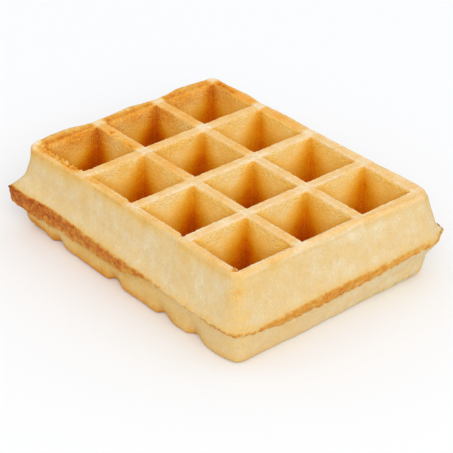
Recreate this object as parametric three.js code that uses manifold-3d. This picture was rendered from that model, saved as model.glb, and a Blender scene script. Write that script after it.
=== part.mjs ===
// A rectangular Belgian waffle: one baked piece with square pockets in both faces,
// drafted side walls and a thin flash where the two iron plates met.
// Frame: millimetres, +Z up, X along the long side, origin on the bottom face under the middle
// of the pocket grid.

import * as THREE from 'three';
import { mergeVertices } from 'three/addons/utils/BufferGeometryUtils.js';
import Module from 'manifold-3d';

const wasm = await Module();
wasm.setup();

// ---- Driving dimensions ----

const PITCH = 28; // pocket centre to pocket centre
const COLUMNS = 4; // pockets along X
const ROWS = 3; // pockets along Y
const THICKNESS = 34; // bottom face to rib tops
const RIB_WIDTH = 3.8; // flat top of a rib
const TOP_POCKET_DEPTH = 20;
const BOTTOM_POCKET_DEPTH = 10;
const POCKET_DRAFT = THREE.MathUtils.degToRad(8);
const POCKET_CORNER = 0.9; // radius of a pocket's upright corners
const FLOOR_FILLET = 1.8; // radius where a pocket's walls meet its floor
const CORNER_RADIUS = 2.5; // outline's corner radius at the edge of the pocket grid
const BASE_ROUNDING = 1.2; // radius of the bottom edge
const FLARE_POWER = 10; // how late the wall flares out above the seam
const LEDGE_HEIGHT = 1.3; // the flash where it is only a thin ledge

// Unevenness, in millimetres at eight places round the outline: the four corners (left, near,
// right, back) and the middles of the sides between them (front, side, rear, flank).
const PLACES = ['left', 'front', 'near', 'side', 'right', 'rear', 'back', 'flank'];
const RIM_OVERHANG = [2.9, 1.2, 1.3, 1.3, 3.6, 2.2, 2, 1.1];
const RIM_ROUNDING = [1.4, 1, 2, 2.2, 1.6, 0.9, 1.5, 1.1];
const WALL_TAPER = [0.8, 2.8, 3.5, 4.4, 4.4, 4.2, 3.4, 3.2];
const WALL_FLARE = [0.6, 1.6, 0.5, 0.4, 0.5, 0.7, 1, 1];
const SEAM_HEIGHT = [12.1, 12, 11.8, 13.3, 17.3, 15.2, 14.2, 13.4];
const FLASH_HEIGHT = [8.4, 7, 3.8, 4.6, 2, 2.2, 2.8, 5];
const FLASH_REACH = [1.8, 1.9, 1.3, 1.1, 1.2, 1.1, 1.2, 1.3]; // to the tips of its crumbs
const UNDERCUT = [-0.7, 1.6, 0.7, 0.6, -0.6, 0.9, 1.2, 1.4];
const BASE_OVERHANG = [3.3, 3.2, 3, 2.9, 4.6, 2.8, 2.8, 2.6];
const BASE_LIFT = [0.8, 0.3, 0.4, 0.3, 7.4, 0.4, 0.6, 0.2];

// At the same places: the share of the wall's depth, from the rim, where a lip begins to bend it out.
const FLARE_START = [0.66, 0.74, 0.9, 0.92, 0.94, 0.85, 0.8, 0.74];

// At the corners: how far they are squared off below the rim, from 0 for round to 1 for square.
const SHARPNESS = [0.85, 0.25, 0.1, 0.3];

// Places on the outline's scale of 0 to 8 between which the flash thins to a ledge.
const LEDGE = { from: 1, full: 1.33, until: 2.03, end: 2.38 };

// The lower wall of the front side is stepped back at a few places along X.
const STEPS_BACK = [-41.3, -8.8, 19, 35.5];
const STEP_DEPTH = 2.3; // at the bottom edge
const STEP_LENGTH = 1.2; // how soon the wall steps back
const STEP_RETURN = 9; // how soon it comes out again
const STEP_FADE = 8; // the steps' wall blends into the plain wall this far from the corners

// The rim of the flank swells out beside the middle of each pocket.
const RIM_SWELL = 1;

// The flash reaches further out, and curls up, at two corners. Places are on the outline's scale
// of 0 to 8. A lip's flare is how much of it bends the wall above the flash, and its cut is how
// much higher the bottom edge starts below it.
const LIPS = [
  { place: 0, before: 0.12, after: 0.19, lift: 0.3, reach: 2.9, flare: 1, cut: 2.4 },
  { place: 4.006, before: 0.02, after: 0.02, lift: 1.4, reach: 1.7, flare: 0, cut: 0 },
];

// ---- Mesh resolution ----

const FRONT_STEPS = 52;
const LONG_STEPS = 18;
const SHORT_STEPS = 14;
const CORNER_STEPS = 5;
const CORNER_SPAN = 0.1; // each corner's arc, on the outline's scale of 0 to 8
const POCKET_CORNER_STEPS = 2;

const HALF_LENGTH = (COLUMNS * PITCH) / 2;
const HALF_WIDTH = (ROWS * PITCH) / 2;

// Value at place q of a quantity given at the eight places, eased between them.
function around(values, q) {
  const whole = Math.floor(q);
  const ease = (1 - Math.cos((q - whole) * Math.PI)) / 2;
  const from = values[whole % PLACES.length];
  const to = values[(whole + 1) % PLACES.length];
  return THREE.MathUtils.lerp(from, to, ease);
}

// How far the front's lower wall stands out at x: it steps back from its full swell.
function frontSwell(x) {
  const shares = STEPS_BACK.map((place) => {
    const past = x - place;
    const reach = past < 0 ? -past / STEP_LENGTH : past / STEP_RETURN;
    return 1 - THREE.MathUtils.smoothstep(reach, 0, 1);
  });
  const fade = 1 - THREE.MathUtils.smoothstep(Math.abs(x), HALF_LENGTH - STEP_FADE, HALF_LENGTH);
  return STEP_DEPTH * fade * (0.25 - Math.max(...shares));
}

// Swell of the flank's rim at y, from 0 beside a rib to 1 beside the middle of a pocket.
function pocketSwell(y) {
  const fade = 1 - THREE.MathUtils.smoothstep(Math.abs(y), HALF_WIDTH - 8, HALF_WIDTH);
  return fade * (1 + Math.cos((2 * Math.PI * y) / PITCH)) / 2;
}

// How much of one lip of the flash there is at place q, from 0 to 1.
function curl(lip, q) {
  const past = THREE.MathUtils.euclideanModulo(q - lip.place + 4, PLACES.length) - 4;
  return Math.exp(-((past / (past < 0 ? lip.before : lip.after)) ** 2));
}

// 1 where the flash is only a thin ledge, 0 where it is a full band.
function ledgeShare(q) {
  const begins = THREE.MathUtils.smoothstep(q, LEDGE.from, LEDGE.full);
  return begins * (1 - THREE.MathUtils.smoothstep(q, LEDGE.until, LEDGE.end));
}

// Stations round the outline at the edge of the pocket grid: the centre of the corner arc or
// its like along a straight side, the outward direction, and the place q.
function outlineStations() {
  const x = HALF_LENGTH - CORNER_RADIUS;
  const y = HALF_WIDTH - CORNER_RADIUS;
  const corners = [[-x, -y], [x, -y], [x, y], [-x, y]];
  const sideSteps = [FRONT_STEPS, SHORT_STEPS, LONG_STEPS, SHORT_STEPS];
  const stations = [];
  for (let side = 0; side < 4; side += 1) {
    const [startX, startY] = corners[side];
    const [endX, endY] = corners[(side + 1) % 4];
    const heading = (side * Math.PI) / 2;
    for (let i = 0; i < sideSteps[side]; i += 1) {
      const t = i / sideSteps[side];
      stations.push({
        x: THREE.MathUtils.lerp(startX, endX, t),
        y: THREE.MathUtils.lerp(startY, endY, t),
        outX: Math.sin(heading),
        outY: -Math.cos(heading),
        q: 2 * side + CORNER_SPAN / 2 + (2 - CORNER_SPAN) * t,
        side: PLACES[2 * side + 1],
      });
    }
    for (let i = 0; i < CORNER_STEPS; i += 1) {
      const t = i / CORNER_STEPS;
      const turn = heading + (t * Math.PI) / 2;
      stations.push({
        x: endX,
        y: endY,
        outX: Math.sin(turn),
        outY: -Math.cos(turn),
        q: 2 * side + 2 + CORNER_SPAN * (t - 0.5),
        sharpness: SHARPNESS[(side + 1) % 4],
      });
    }
  }
  return stations;
}

// The side wall's section at a station, from the bottom face up to the top face, as
// [distance outside the pocket grid, height, share of the corner's sharpness] of each point.
function wallSection(station) {
  const q = station.q % PLACES.length;
  const rim = around(RIM_OVERHANG, q);
  const rimSwell = station.side === 'flank' ? RIM_SWELL * pocketSwell(station.y) : 0;
  const rimRounding = around(RIM_ROUNDING, q);
  const taper = around(WALL_TAPER, q);
  const flare = around(WALL_FLARE, q);
  const bandHeight = around(FLASH_HEIGHT, q);
  const flashTop = around(SEAM_HEIGHT, q) + bandHeight / 2;
  const flashHeight = THREE.MathUtils.lerp(bandHeight, LEDGE_HEIGHT, ledgeShare(q));
  const seam = flashTop - flashHeight / 2;
  const lift = around(BASE_LIFT, q) + LIPS.reduce((sum, lip) => sum + lip.cut * curl(lip, q), 0);
  const plainBase = around(BASE_OVERHANG, q);
  const step = station.side === 'front' ? frontSwell(station.x) : 0;
  const base = plainBase + step;
  const wallDepth = THICKNESS - flashTop;
  const wallFoot = rim + taper + flare;
  const lowerTop = wallFoot - around(UNDERCUT, q);
  const flashReach = around(FLASH_REACH, q);
  const lipReach = LIPS.reduce((sum, lip) => sum + lip.reach * curl(lip, q), 0);
  const lipLift = LIPS.reduce((sum, lip) => sum + lip.lift * curl(lip, q), 0);
  const flaredReach = LIPS.reduce((sum, lip) => sum + lip.reach * lip.flare * curl(lip, q), 0);
  const flaredLift = LIPS.reduce((sum, lip) => sum + lip.lift * lip.flare * curl(lip, q), 0);
  const root = 0.85 * (flashReach + flaredReach);
  const rootLift = 0.6 * flaredLift;
  const flashTip = wallFoot + flashReach + lipReach;
  const towardsTip = (share) => THREE.MathUtils.lerp(lowerTop, flashTip, share);
  const middle = THREE.MathUtils.lerp(plainBase, lowerTop, 0.55) + step * 0.1;

  const section = [
    [-2.2, 0, 1],
    [base - BASE_ROUNDING, lift * 0.3, 1],
    [base - BASE_ROUNDING * 0.3, lift * 0.8 + BASE_ROUNDING * 0.3, 1],
    [base, lift + BASE_ROUNDING, 1],
    [middle, THREE.MathUtils.lerp(lift, seam, 0.55), 1],
    [lowerTop, seam - flashHeight * 0.55, 1],
    [towardsTip(0.68), seam - flashHeight * 0.28 + lipLift * 0.2, 1],
    [towardsTip(0.92), seam + flashHeight * 0.2 + lipLift * 0.8, 1],
    [flashTip, seam + flashHeight * 0.42 + lipLift, 1],
    [wallFoot + root, flashTop + rootLift, 1],
  ];
  const flareStart = around(FLARE_START, q);
  for (const fraction of [0.93, 0.8, 0.55, 0.25]) {
    const late = Math.max((fraction - flareStart) / (1 - flareStart), 0) ** 1.3;
    const spread = taper * fraction + flare * fraction ** FLARE_POWER + rimSwell * (1 - fraction);
    const height = THICKNESS - wallDepth * fraction + rootLift * late;
    section.push([rim + spread + root * late, height, THREE.MathUtils.smoothstep(fraction, 0, 1)]);
  }
  section.push([rim + rimSwell, THICKNESS - rimRounding, 0]);
  section.push([rim + rimSwell - rimRounding * 0.35, THICKNESS - rimRounding * 0.3, 0]);
  section.push([-1, THICKNESS, 0]);
  return section;
}

// How much further a point of a corner stands out when the corner is squared off.
function squaring(station, share) {
  const diagonal = 1 / Math.max(Math.abs(station.outX), Math.abs(station.outY));
  return 1 + (station.sharpness ?? 0) * share * (diagonal - 1);
}

// A closed solid through rings of equal point count, lowest first, each ring counterclockwise
// seen from above, with its two ends closed by fans about their middles.
function loft(rings) {
  const count = rings[0].length;
  const positions = rings.flat().flatMap((point) => point.toArray());
  const index = [];
  for (let level = 0; level + 1 < rings.length; level += 1) {
    for (let i = 0; i < count; i += 1) {
      const low = level * count + i;
      const lowNext = level * count + ((i + 1) % count);
      index.push(low, lowNext, lowNext + count);
      index.push(low, lowNext + count, low + count);
    }
  }
  const bottomMiddle = positions.length / 3;
  const middleOf = (ring) => ring.reduce((sum, p) => sum.add(p), new THREE.Vector3()).divideScalar(count);
  positions.push(...middleOf(rings[0]).toArray(), ...middleOf(rings.at(-1)).toArray());
  const topStart = (rings.length - 1) * count;
  for (let i = 0; i < count; i += 1) {
    const next = (i + 1) % count;
    index.push(bottomMiddle, next, i);
    index.push(bottomMiddle + 1, topStart + i, topStart + next);
  }
  const geometry = new THREE.BufferGeometry();
  geometry.setAttribute('position', new THREE.Float32BufferAttribute(positions, 3));
  geometry.setIndex(index);
  return geometry;
}

function toSolid(geometry) {
  const merged = mergeVertices(geometry, 1e-4);
  return new wasm.Manifold(new wasm.Mesh({
    numProp: 3,
    vertProperties: new Float32Array(merged.attributes.position.array),
    triVerts: new Uint32Array(merged.index.array),
  }));
}

function toGeometry(solid) {
  const mesh = solid.getMesh();
  const geometry = new THREE.BufferGeometry();
  geometry.setAttribute('position', new THREE.BufferAttribute(mesh.vertProperties, 3));
  geometry.setIndex(new THREE.BufferAttribute(mesh.triVerts, 1));
  geometry.computeVertexNormals();
  return geometry;
}

// The waffle without its pockets.
function outerBody() {
  const stations = outlineStations();
  const sections = stations.map(wallSection);
  const rings = sections[0].map((_, level) => stations.map((station, i) => {
    const [outside, height, share] = sections[i][level];
    const reach = (CORNER_RADIUS + outside) * squaring(station, share);
    return new THREE.Vector3(station.x + station.outX * reach, station.y + station.outY * reach, height);
  }));
  return loft(rings);
}

// A square ring with rounded corners about the middle of a pocket.
function pocketRing(halfSide, radius, height) {
  const shape = new THREE.Shape();
  const inner = halfSide - radius;
  shape.absarc(inner, inner, radius, 0, Math.PI / 2);
  shape.absarc(-inner, inner, radius, Math.PI / 2, Math.PI);
  shape.absarc(-inner, -inner, radius, Math.PI, Math.PI * 1.5);
  shape.absarc(inner, -inner, radius, Math.PI * 1.5, Math.PI * 2);
  const points = [];
  for (const curve of shape.curves) {
    if (curve.isEllipseCurve) {
      points.push(...curve.getPoints(POCKET_CORNER_STEPS));
    }
  }
  return points.map((p) => new THREE.Vector3(p.x, p.y, height));
}

// The empty space of one pocket, opening upwards with its mouth at height 0.
function pocketSpace(depth) {
  const mouth = (PITCH - RIB_WIDTH) / 2;
  const slope = Math.tan(POCKET_DRAFT);
  const halfSideAt = (down) => mouth - slope * down;
  const above = 2;
  const filletTop = halfSideAt(depth - FLOOR_FILLET);
  return loft([
    pocketRing(filletTop - FLOOR_FILLET, POCKET_CORNER, -depth),
    pocketRing(filletTop - FLOOR_FILLET * 0.3, POCKET_CORNER, -depth + FLOOR_FILLET * 0.3),
    pocketRing(filletTop, POCKET_CORNER, -depth + FLOOR_FILLET),
    pocketRing(mouth, POCKET_CORNER, 0),
    pocketRing(mouth, POCKET_CORNER, above),
  ]);
}

function pocketCentre(column, row) {
  const x = (column - (COLUMNS - 1) / 2) * PITCH;
  const y = (row - (ROWS - 1) / 2) * PITCH;
  return [x, y];
}

function waffleGeometry() {
  let solid = toSolid(outerBody());
  const topPocket = toSolid(pocketSpace(TOP_POCKET_DEPTH));
  const bottomPocket = toSolid(pocketSpace(BOTTOM_POCKET_DEPTH).rotateX(Math.PI));
  for (let column = 0; column < COLUMNS; column += 1) {
    for (let row = 0; row < ROWS; row += 1) {
      const [x, y] = pocketCentre(column, row);
      solid = solid.subtract(topPocket.translate(x, y, THICKNESS));
      solid = solid.subtract(bottomPocket.translate(x, y, 0));
    }
  }
  return toGeometry(solid);
}

const crust = new THREE.MeshStandardMaterial({ color: '#e3b877', roughness: 0.8, metalness: 0 });

const waffle = new THREE.Mesh(waffleGeometry(), crust);
waffle.name = 'waffle';

const group = new THREE.Group();
group.add(waffle);

export default group;
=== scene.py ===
# %% [markdown]
# # A Brussels waffle in Blender
# A rectangular waffle is one piece of baked batter. Two iron plates shape it: each plate has a grid
# of square studs, and every stud leaves a pocket. The batter that creeps out between the plates
# bakes into a thin brown seam round the side walls.
# This lesson models that one piece from its grid outwards, roughens it as baking does, and browns it.

# %% Load the frame
import math

import bmesh
import bpy
from mathutils import Matrix, Vector, kdtree, noise


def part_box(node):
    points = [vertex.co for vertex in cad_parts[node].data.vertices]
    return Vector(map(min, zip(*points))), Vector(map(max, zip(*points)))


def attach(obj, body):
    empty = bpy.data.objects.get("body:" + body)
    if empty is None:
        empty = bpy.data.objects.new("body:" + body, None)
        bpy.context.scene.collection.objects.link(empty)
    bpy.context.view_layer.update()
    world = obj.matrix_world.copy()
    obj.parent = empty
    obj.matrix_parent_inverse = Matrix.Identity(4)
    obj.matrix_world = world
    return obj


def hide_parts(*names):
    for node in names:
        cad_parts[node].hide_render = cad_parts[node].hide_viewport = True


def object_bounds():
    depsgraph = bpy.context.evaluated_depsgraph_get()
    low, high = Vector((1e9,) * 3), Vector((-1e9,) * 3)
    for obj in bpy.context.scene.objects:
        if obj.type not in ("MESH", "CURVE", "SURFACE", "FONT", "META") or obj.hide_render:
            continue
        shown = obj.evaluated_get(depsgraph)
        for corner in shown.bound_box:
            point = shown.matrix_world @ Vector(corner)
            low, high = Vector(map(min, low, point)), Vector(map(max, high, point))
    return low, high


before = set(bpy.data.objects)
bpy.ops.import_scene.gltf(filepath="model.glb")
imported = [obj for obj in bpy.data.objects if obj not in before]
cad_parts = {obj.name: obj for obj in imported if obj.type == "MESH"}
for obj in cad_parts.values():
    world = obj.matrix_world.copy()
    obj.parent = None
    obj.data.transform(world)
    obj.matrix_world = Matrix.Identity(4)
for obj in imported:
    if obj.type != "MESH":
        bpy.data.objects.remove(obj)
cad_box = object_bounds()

print("CAD box:", [round(value, 4) for corner in cad_box for value in corner])

# %% [markdown]
# ## Sizes
# The mesh is worked in millimetres, like the drawing of an iron plate, and turned to metres once at
# the end. The frame is 34 mm thick and its grid has 4 by 3 pockets, 28 mm apart.

# %% Driving sizes, in millimetres
MM = 0.001
PITCH = 28
COLUMNS = 4
ROWS = 3
THICKNESS = (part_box("waffle")[1].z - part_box("waffle")[0].z) / MM
RIB_WIDTH = 3.8
TOP_POCKET_DEPTH = 20
BOTTOM_POCKET_DEPTH = 10
POCKET_DRAFT = math.radians(8)
FLOOR_FILLET = 1.8
CORNER_RADIUS = 2.5
BASE_ROUNDING = 1.2

HALF_LENGTH = COLUMNS * PITCH / 2
HALF_WIDTH = ROWS * PITCH / 2
MOUTH = PITCH - RIB_WIDTH
MOUTHS_END_X = HALF_LENGTH - RIB_WIDTH / 2
MOUTHS_END_Y = HALF_WIDTH - RIB_WIDTH / 2
# the outline is measured outwards from a rectangle that holds the centres of its round corners
FOOT_X = HALF_LENGTH - CORNER_RADIUS
FOOT_Y = HALF_WIDTH - CORNER_RADIUS
TOUCHING = 0.01
print("thickness", round(THICKNESS, 2), "mm, grid", COLUMNS * PITCH, "by", ROWS * PITCH, "mm")

# %% [markdown]
# ## Camera, floor and light
# The waffle is looked down on from beyond its near corner with a long lens. The camera's place is
# counted from the middle of the rib tops: a distance back, and small steps to the right and up.
# A wide softbox over the camera's shoulder and a white room give the pale, almost shadowless look
# of food on a light table.

# %% Camera
CAMERA_AZIMUTH = math.radians(48.87)
CAMERA_ELEVATION = math.radians(31.47)
CAMERA_ROLL = math.radians(0.96)
CAMERA_DISTANCE = 650.9
CAMERA_RIGHT = 1.16
CAMERA_UP = -21.03
LENS = 145.17
NEAREST_SEEN = 50


def make_camera():
    level = math.cos(CAMERA_ELEVATION)
    right = Vector((math.cos(CAMERA_AZIMUTH), math.sin(CAMERA_AZIMUTH), 0))
    back = Vector((right.y * level, -right.x * level, math.sin(CAMERA_ELEVATION)))
    up = back.cross(right)
    place = back * CAMERA_DISTANCE + right * CAMERA_RIGHT + up * CAMERA_UP + Vector((0, 0, THICKNESS))
    turn = Matrix((right, up, back)).transposed().to_4x4() @ Matrix.Rotation(CAMERA_ROLL, 4, "Z")
    camera = bpy.data.objects.new("camera", bpy.data.cameras.new("camera"))
    camera.data.lens = LENS
    camera.data.clip_start = NEAREST_SEEN * MM
    camera.matrix_world = Matrix.Translation(place * MM) @ turn
    bpy.context.scene.collection.objects.link(camera)
    bpy.context.scene.camera = camera
    return camera


camera = make_camera()
print("camera at", [round(value, 3) for value in camera.matrix_world.translation])

# %% [markdown]
# Colours are written as a screen shows them and turned into the linear values that a shader mixes.
# One helper adds any node with its settings and links, so that a material reads like a recipe.


# %% Colours and nodes
def srgb(code):
    """A linear colour from an sRGB hex code such as "#e8c890"."""
    channels = [int(code[i:i + 2], 16) / 255 for i in (1, 3, 5)]
    linear = [c / 12.92 if c <= 0.04045 else ((c + 0.055) / 1.055) ** 2.4 for c in channels]
    return (*linear, 1.0)


def add_node(tree, kind, inputs=None, stops=(), **settings):
    """Adds a node. An input is a value or the output that feeds it, and stops are a ramp's colours."""
    node = tree.nodes.new(kind)
    for name, value in settings.items():
        setattr(node, name, value)
    for name, value in (inputs or {}).items():
        if isinstance(value, bpy.types.NodeSocket):
            tree.links.new(value, node.inputs[name])
        else:
            node.inputs[name].default_value = value
    if stops:
        elements = node.color_ramp.elements
        while len(elements) < len(stops):
            elements.new(0.5)
        for element, (position, code) in zip(elements, stops):
            element.position = position
            element.color = srgb(code)
    return node


def new_material(name):
    """An empty node material, its node tree and its output node."""
    material = bpy.data.materials.new(name)
    material.use_nodes = True
    material.node_tree.nodes.clear()
    output = add_node(material.node_tree, "ShaderNodeOutputMaterial")
    return material, material.node_tree, output


# %% Floor and light, in metres and watts
FLOOR_WIDTH = 6.0
WORLD_STRENGTH = 0.87
SOFTBOX_WIDTH = 4.4
SOFTBOX_POWER = 200
SOFTBOX_PLACE = Vector((4.6, -2.7, 4.0))


def make_floor():
    material, tree, output = new_material("white coated paper")
    shader = add_node(tree, "ShaderNodeBsdfPrincipled", {"Base Color": srgb("#f2f3f5"), "Roughness": 0.9})
    tree.links.new(shader.outputs[0], output.inputs[0])
    mesh = bpy.data.meshes.new("floor")
    bm = bmesh.new()
    bmesh.ops.create_grid(bm, x_segments=1, y_segments=1, size=FLOOR_WIDTH / 2)
    bm.to_mesh(mesh)
    bm.free()
    mesh.materials.append(material)
    floor = bpy.data.objects.new("floor", mesh)
    bpy.context.scene.collection.objects.link(floor)


def make_lights():
    world = bpy.data.worlds.new("white room")
    world.use_nodes = True
    background = world.node_tree.nodes["Background"]
    background.inputs["Color"].default_value = srgb("#ffffff")
    background.inputs["Strength"].default_value = WORLD_STRENGTH
    bpy.context.scene.world = world
    lamp = bpy.data.lights.new("softbox", "AREA")
    lamp.size = SOFTBOX_WIDTH
    lamp.energy = SOFTBOX_POWER
    light = bpy.data.objects.new("softbox", lamp)
    light.location = SOFTBOX_PLACE
    light.rotation_euler = SOFTBOX_PLACE.to_track_quat("Z", "Y").to_euler()
    bpy.context.scene.collection.objects.link(light)


make_floor()
make_lights()
bpy.context.scene.view_settings.view_transform = "Standard"
print("floor", FLOOR_WIDTH, "m wide, softbox", SOFTBOX_WIDTH, "m wide")

# %% [markdown]
# ## The outline and the side wall
# No two stretches of a baked side wall are alike, so each quantity of its section has a value at
# eight places round the outline, the four corners and the middles of the sides between them, and
# eases from one to the next. A place is a number from 0 to 8 on that way round.

# %% Unevenness round the outline
PLACES = ("left", "front", "near", "side", "right", "rear", "back", "flank")
# in millimetres, apart from flare_start, which is a share of the upper wall's depth
UNEVEN = {
    "rim_overhang": (2.9, 1.2, 1.3, 1.3, 3.6, 2.2, 2.0, 1.1),
    "rim_rounding": (1.4, 1.0, 2.0, 2.2, 1.6, 0.9, 1.5, 1.1),
    "wall_taper": (0.8, 2.8, 3.5, 4.4, 4.4, 4.2, 3.4, 3.2),
    "wall_flare": (0.6, 1.6, 0.5, 0.4, 0.5, 0.7, 1.0, 1.0),
    "seam_height": (12.1, 12.0, 11.8, 13.3, 17.3, 15.2, 14.2, 13.4),
    "flash_height": (8.4, 7.0, 3.8, 4.6, 2.0, 2.2, 2.8, 5.0),
    "flash_reach": (1.4, 1.5, 0.9, 0.7, 0.8, 0.7, 0.8, 0.9),
    "flare_start": (0.66, 0.74, 0.9, 0.92, 0.94, 0.85, 0.8, 0.74),
    "undercut": (-0.7, 1.6, 0.7, 0.6, -0.6, 0.9, 1.2, 1.4),
    "base_overhang": (3.3, 3.2, 3.0, 2.9, 4.6, 2.8, 2.8, 2.6),
    "base_lift": (0.8, 0.3, 0.4, 0.3, 7.4, 0.4, 0.6, 0.2),
}
# how much of the outline's scale a round corner takes, and how far towards a square one it is drawn
CORNER_SPAN = 0.1
SHARP_CORNERS = {(-1, -1): 0.85, (1, -1): 0.25, (1, 1): 0.1, (-1, 1): 0.3}
# between which places the flash thins to a ledge, and between which it thickens again
LEDGE_FROM = (1.0, 1.33)
LEDGE_TO = (2.03, 2.38)
LEDGE_HEIGHT = 1.3
# where along X the front's lower wall steps back, and how much it stands out between the steps
STEPS_BACK = (-41.3, -8.8, 19, 35.5)
STEP_DEPTH = 2.3
STEP_LENGTH = 1.2
STEP_RETURN = 9
STEP_FADE = 8
STEP_SWELL = 0.25
RIM_SWELL = 1.0
# a lip's flare is how much of it bends the wall above the flash, and its cut is how much higher the
# bottom edge starts below it
LIPS = ({"place": 0.0, "before": 0.12, "after": 0.19, "lift": 0.3, "reach": 2.9, "flare": 1, "cut": 2.4},
        {"place": 4.006, "before": 0.02, "after": 0.02, "lift": 1.4, "reach": 1.7, "flare": 0, "cut": 0})


def lerp(a, b, t):
    return a + (b - a) * t


def smoothstep(value, low, high):
    t = min(max((value - low) / (high - low), 0), 1)
    return t * t * (3 - 2 * t)


def around(quantity, place):
    """A quantity of the section at a place."""
    values = UNEVEN[quantity]
    whole = math.floor(place)
    ease = (1 - math.cos((place - whole) * math.pi)) / 2
    return lerp(values[whole % 8], values[(whole + 1) % 8], ease)


def front_swell(x):
    """How far the front's lower wall stands out at x, with its steps back."""
    shares = []
    for step in STEPS_BACK:
        past = x - step
        reach = -past / STEP_LENGTH if past < 0 else past / STEP_RETURN
        shares.append(1 - smoothstep(reach, 0, 1))
    fade = 1 - smoothstep(abs(x), HALF_LENGTH - STEP_FADE, HALF_LENGTH)
    return STEP_DEPTH * fade * (STEP_SWELL - max(shares))


def flank_swell(y):
    """The flank's rim swells out beside the middle of each pocket."""
    fade = 1 - smoothstep(abs(y), HALF_WIDTH - STEP_FADE, HALF_WIDTH)
    return RIM_SWELL * fade * (1 + math.cos(2 * math.pi * y / PITCH)) / 2


def curl(lip, place):
    """How much of a lip of the flash there is at a place, from 0 to 1."""
    past = (place - lip["place"] + 4) % 8 - 4
    return math.exp(-(past / (lip["before"] if past < 0 else lip["after"])) ** 2)


def from_lips(place, *quantities):
    """What the lips add to the section at a place: the product of the named quantities of each, summed."""
    return sum(math.prod(lip[name] for name in quantities) * curl(lip, place) for lip in LIPS)


def ledge_share(place):
    """1 where the flash is only a thin ledge, 0 where it is a full band."""
    return smoothstep(place, *LEDGE_FROM) * (1 - smoothstep(place, *LEDGE_TO))


print("section values at", len(PLACES), "places")

# %% [markdown]
# The section runs down from the rim in five stretches: the rounded rim, the drafted upper wall, the
# flash, the undercut lower wall and the rounded base. Each stretch has its own number of rings, so
# a ring's level says which stretch it belongs to.

# %% Section of the side wall
RIM_RINGS = 3
WALL_RINGS = 16
FLASH_RINGS = 6
LOWER_RINGS = 9
BASE_RINGS = 3
WALL_START = RIM_RINGS
FLASH_START = WALL_START + WALL_RINGS
LOWER_START = FLASH_START + FLASH_RINGS
BASE_START = LOWER_START + LOWER_RINGS
LAST_RING = BASE_START + BASE_RINGS

FLARE_POWER = 10
ROOT_EASE = 1.3
ROOT_REACH = 0.85
ROOT_LIFT = 0.6
# from the tip of the flash back in: how far towards the lower wall, how high above the seam in
# thicknesses of the flash, and how much of a lip's lift
FLASH_SHAPE = (
    (0, 0.42, 1), (0.08, 0.2, 0.8), (0.16, -0.05, 0.5), (0.32, -0.28, 0.2), (0.65, -0.45, 0), (1, -0.55, 0),
)
LOWER_BEND = 0.55
STEPS_FROM = 0.3
BASE_RISE = 0.3


def along(points, t):
    """The point at fraction t of a polyline whose stretches count the same."""
    step = min(int(t * (len(points) - 1)), len(points) - 2)
    part = t * (len(points) - 1) - step
    return tuple(lerp(a, b, part) for a, b in zip(points[step], points[step + 1]))


def flash_heights(place):
    """[top, middle, thickness] of the flash. A ledge hangs from the top of the band that it goes on from."""
    thickness = around("flash_height", place)
    top = around("seam_height", place) + thickness / 2
    thickness = lerp(thickness, LEDGE_HEIGHT, ledge_share(place))
    return top, top - thickness / 2, thickness


def flash_root(place):
    """[how far beyond the upper wall, how much higher] the flash begins."""
    reach = around("flash_reach", place) + from_lips(place, "reach", "flare")
    return ROOT_REACH * reach, ROOT_LIFT * from_lips(place, "lift", "flare")


def rim_point(place, level, swell):
    rounding = around("rim_rounding", place)
    turn = math.pi / 2 * level / RIM_RINGS
    outside = around("rim_overhang", place) + swell - rounding * (1 - math.sin(turn))
    return outside, THICKNESS - rounding * (1 - math.cos(turn))


def upper_wall_point(place, level, swell):
    """The drafted wall, which flares out over its last part towards the root of the flash."""
    wall_depth = THICKNESS - flash_heights(place)[0]
    fraction = lerp(around("rim_rounding", place) / wall_depth, 1, (level - WALL_START) / WALL_RINGS)
    flare_start = around("flare_start", place)
    late = max((fraction - flare_start) / (1 - flare_start), 0) ** ROOT_EASE
    root, root_lift = flash_root(place)
    outside = around("rim_overhang", place) + around("wall_taper", place) * fraction
    outside += around("wall_flare", place) * fraction ** FLARE_POWER + root * late
    return outside + swell * (1 - fraction), THICKNESS - wall_depth * fraction + root_lift * late


def flash_profile(place):
    """The flash, from its root on the upper wall over its tip and back in to the lower wall."""
    top, seam, thickness = flash_heights(place)
    root, root_lift = flash_root(place)
    wall_foot = sum(around(quantity, place) for quantity in ("rim_overhang", "wall_taper", "wall_flare"))
    tip = wall_foot + around("flash_reach", place) + from_lips(place, "reach")
    lower_top = wall_foot - around("undercut", place)
    lift = from_lips(place, "lift")
    profile = [(wall_foot + root, top + root_lift)]
    for inwards, height, lifted in FLASH_SHAPE:
        profile.append((lerp(tip, lower_top, inwards), seam + thickness * height + lift * lifted))
    return profile


def lower_profile(place, base, base_lift):
    """The lower wall, from under the flash to the rounding of the base."""
    under_flash = flash_profile(place)[-1]
    seam = flash_heights(place)[1]
    bend = (lerp(base, under_flash[0], LOWER_BEND), lerp(base_lift, seam, LOWER_BEND))
    return [under_flash, bend, (base, base_lift + BASE_ROUNDING)]


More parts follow.
